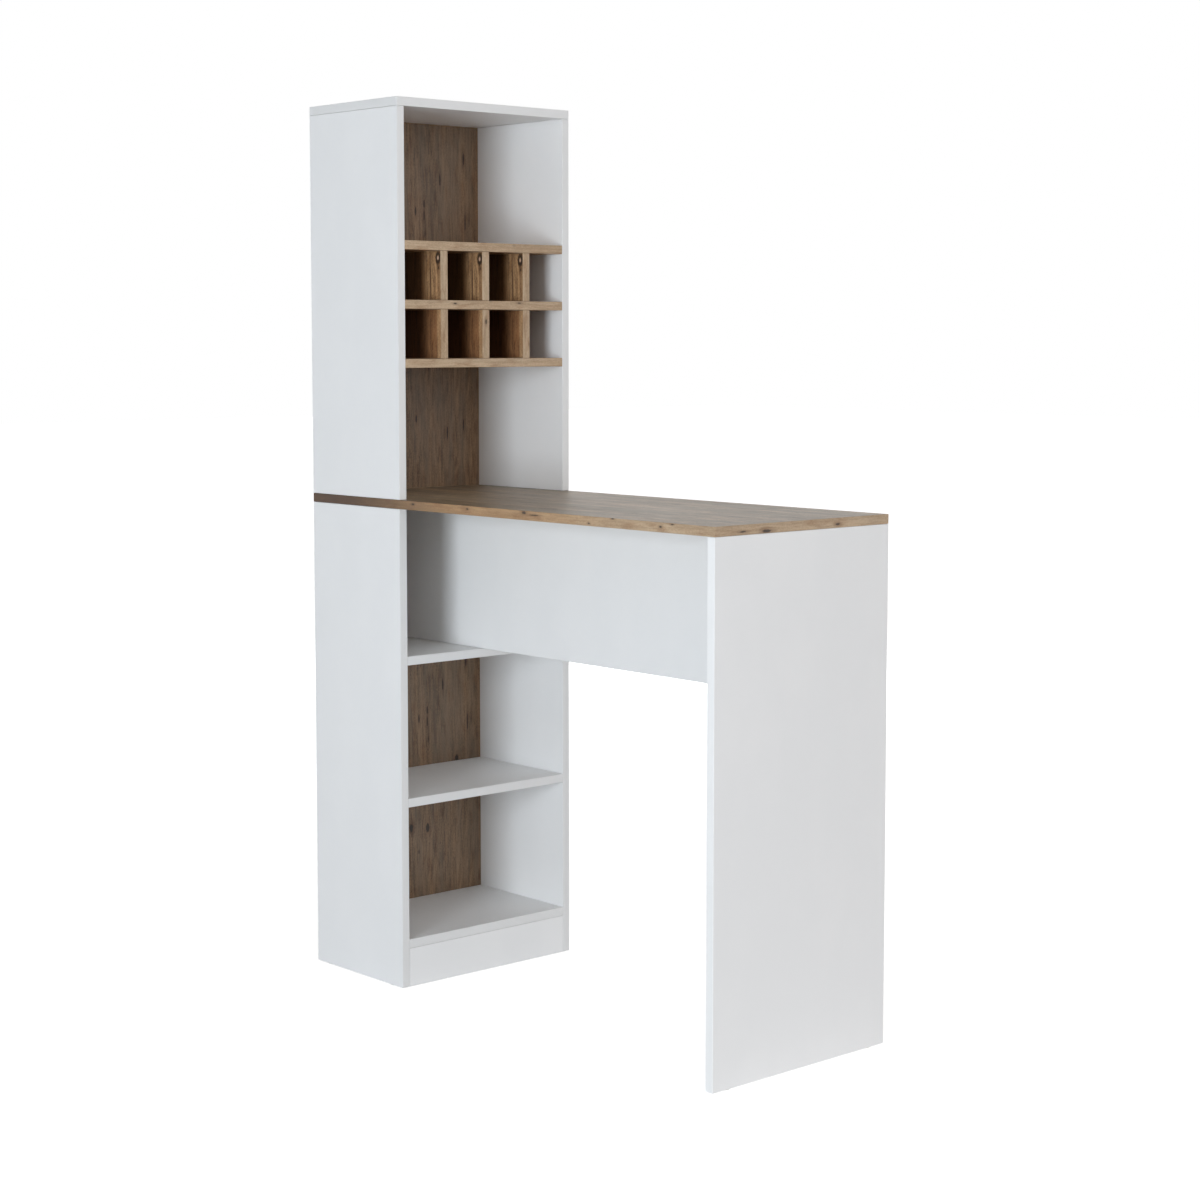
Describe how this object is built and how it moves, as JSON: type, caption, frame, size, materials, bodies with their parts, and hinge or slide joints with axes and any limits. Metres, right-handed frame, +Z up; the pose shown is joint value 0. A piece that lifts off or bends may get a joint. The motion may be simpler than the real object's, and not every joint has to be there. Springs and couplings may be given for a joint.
{
  "type": "bar table",
  "caption": "Bar table: a long worktop between a leg panel and a tall open cabinet with shelves and a bottle rack.",
  "frame": {"origin": "on the floor under the middle of the table's overall box", "axes": "+X along the worktop from the cabinet to the leg panel, which is also where the cabinet's open front faces; +Z up; +Y to the right for somebody who faces the cabinet's open front"},
  "size_m": [1.2, 0.45, 1.8],
  "materials": {
    "white_board": "satin white coated board",
    "pine_board": "matt rustic pine decor",
    "glide_plastic": "matt",
    "beech_dowel": "raw, fluted",
    "cast_zinc": "cast",
    "zinc_plated_steel": "zinc plated"
  },
  "bodies": {
    "root": {"lower_left_side": "white_board", "lower_right_side": "white_board", "plinth": "white_board", "bottom_panel": "white_board", "mid_shelf": "white_board", "upper_shelf": "white_board", "leg_panel": "white_board", "apron": "white_board", "top_panel": "white_board", "upper_left_side": "white_board", "upper_right_side": "white_board", "lower_back": "pine_board", "worktop": "pine_board", "upper_back": "pine_board", "rack_board_1": "pine_board", "rack_board_2": "pine_board", "rack_board_3": "pine_board", "rack_divider_1_1": "pine_board", "rack_divider_1_2": "pine_board", "rack_divider_1_3": "pine_board", "rack_divider_2_1": "pine_board", "rack_divider_2_2": "pine_board", "rack_divider_2_3": "pine_board", "glide_left_front": "glide_plastic", "glide_left_rear": "glide_plastic", "glide_right_front": "glide_plastic", "glide_right_rear": "glide_plastic", "glide_leg_left": "glide_plastic", "glide_leg_right": "glide_plastic", "bottom_panel_dowel_left": "beech_dowel", "bottom_panel_dowel_right": "beech_dowel", "mid_shelf_dowel_left": "beech_dowel", "mid_shelf_dowel_right": "beech_dowel", "upper_shelf_dowel_left": "beech_dowel", "upper_shelf_dowel_right": "beech_dowel", "rack_board_1_dowel_left": "beech_dowel", "rack_board_1_dowel_right": "beech_dowel", "rack_board_3_dowel_left": "beech_dowel", "rack_board_3_dowel_right": "beech_dowel", "rack_dowel_1_1": "beech_dowel", "rack_dowel_1_2": "beech_dowel", "rack_dowel_1_3": "beech_dowel", "cabinet_cam_left": "cast_zinc", "cabinet_cam_right": "cast_zinc", "leg_cam_left": "cast_zinc", "leg_cam_right": "cast_zinc", "apron_cam": "cast_zinc", "cabinet_cam_bolt_left": "zinc_plated_steel", "cabinet_cam_bolt_right": "zinc_plated_steel", "leg_cam_bolt_left": "zinc_plated_steel", "leg_cam_bolt_right": "zinc_plated_steel", "apron_cam_bolt": "zinc_plated_steel", "top_screw_left_front": "zinc_plated_steel", "top_screw_left_rear": "zinc_plated_steel", "top_screw_right_front": "zinc_plated_steel", "top_screw_right_rear": "zinc_plated_steel", "worktop_screw_left_front": "zinc_plated_steel", "worktop_screw_left_rear": "zinc_plated_steel", "worktop_screw_right_front": "zinc_plated_steel", "worktop_screw_right_rear": "zinc_plated_steel"}
  },
  "joints": []
}
